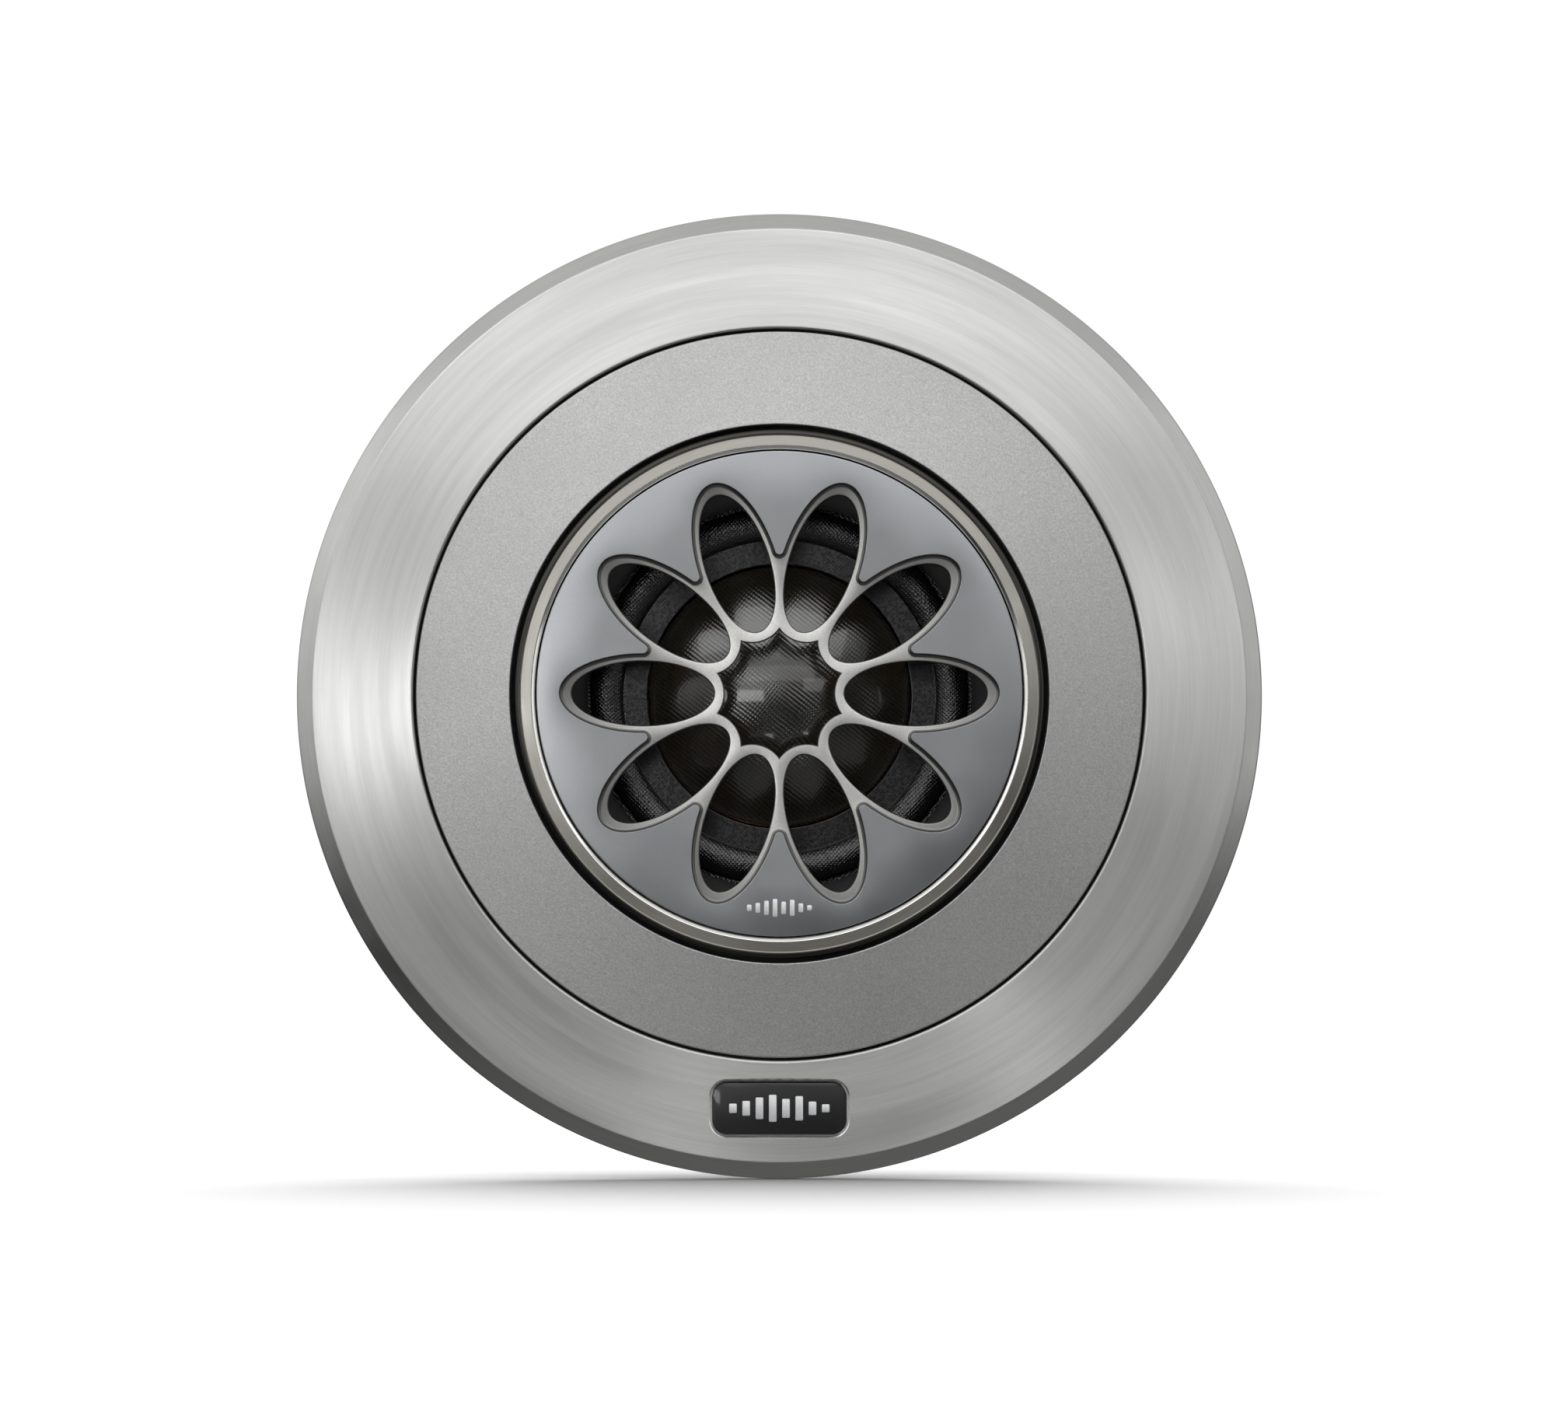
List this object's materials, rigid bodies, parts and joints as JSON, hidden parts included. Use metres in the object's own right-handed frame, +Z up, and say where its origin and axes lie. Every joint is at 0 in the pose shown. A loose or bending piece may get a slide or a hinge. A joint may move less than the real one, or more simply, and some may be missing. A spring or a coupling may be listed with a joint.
{
  "type": "car tweeter",
  "caption": "Flush-mount soft dome car tweeter: a capsule with a flower-shaped grille in a wide turned trim ring, held through the panel by a rear nut.",
  "frame": {"origin": "on the tweeter's axis, in the plane of the panel face that its gasket presses on", "axes": "-Y points forward out of the panel along the tweeter's axis, +Z up, with the badge at the bottom, +X to the viewer's right"},
  "size_m": [0.104, 0.0393, 0.104],
  "materials": {
    "brushed_aluminium": "circumferentially turned and brushed, clear lacquer",
    "bead_blasted_grey": "bead-blasted matte grey",
    "satin_grey": "satin grey anodised",
    "polished_aluminium": "polished, slightly warm",
    "black_enamel": "gloss black",
    "black_nylon": "moulded, fine texture",
    "black_anodised": "black anodised, satin",
    "black_rubber": "closed-cell, matte",
    "coated_silk": "woven cloth with a tacky coating",
    "grey_felt": "pressed felt",
    "zinc_steel": "zinc plated",
    "nickelled_magnet": "nickel plated",
    "aluminium_foil": "bright foil",
    "copper_wire": "enamelled copper",
    "tin_plate": "tin plated",
    "fibre_board": "black fibre board"
  },
  "bodies": {
    "tweeter_body": {"outer_trim_ring": "brushed_aluminium", "badge_plate": "black_enamel", "face_ring": "bead_blasted_grey", "mounting_cup": "black_nylon", "panel_gasket": "black_rubber", "capsule_seal": "black_rubber", "trim_screw_1": "zinc_steel", "trim_screw_2": "zinc_steel", "trim_screw_3": "zinc_steel", "trim_screw_4": "zinc_steel", "face_screw_1": "zinc_steel", "face_screw_2": "zinc_steel", "face_screw_3": "zinc_steel", "face_screw_4": "zinc_steel", "panel_nut": "black_nylon", "bezel_ring": "polished_aluminium", "flower_grille": "satin_grey", "capsule_housing": "black_anodised", "lock_ring": "black_anodised", "waveguide_ring": "black_nylon", "surround": "coated_silk", "diaphragm_ring": "black_nylon", "pole_plate": "zinc_steel", "neodymium_magnet": "nickelled_magnet", "pole_felt": "grey_felt", "yoke_cup": "zinc_steel", "rear_can": "black_anodised", "rear_felt": "grey_felt", "rear_cover": "black_anodised", "cover_screw_1": "zinc_steel", "cover_screw_2": "zinc_steel", "cover_screw_3": "zinc_steel", "cover_screw_4": "zinc_steel", "terminal_board": "fibre_board", "positive_terminal": "tin_plate", "negative_terminal": "tin_plate", "left_rivet": "tin_plate", "right_rivet": "tin_plate", "positive_lead": "copper_wire", "negative_lead": "copper_wire"},
    "moving_coil": {"dome": "coated_silk", "voice_coil_former": "aluminium_foil", "voice_coil_winding": "copper_wire"}
  },
  "joints": [
    {"name": "diaphragm_travel", "type": "slide", "parent": "tweeter_body", "child": "moving_coil", "axis": [0, -1, 0], "range_m": [-0.0005, 0.0005], "stiffness_N_per_m": 8000}
  ]
}
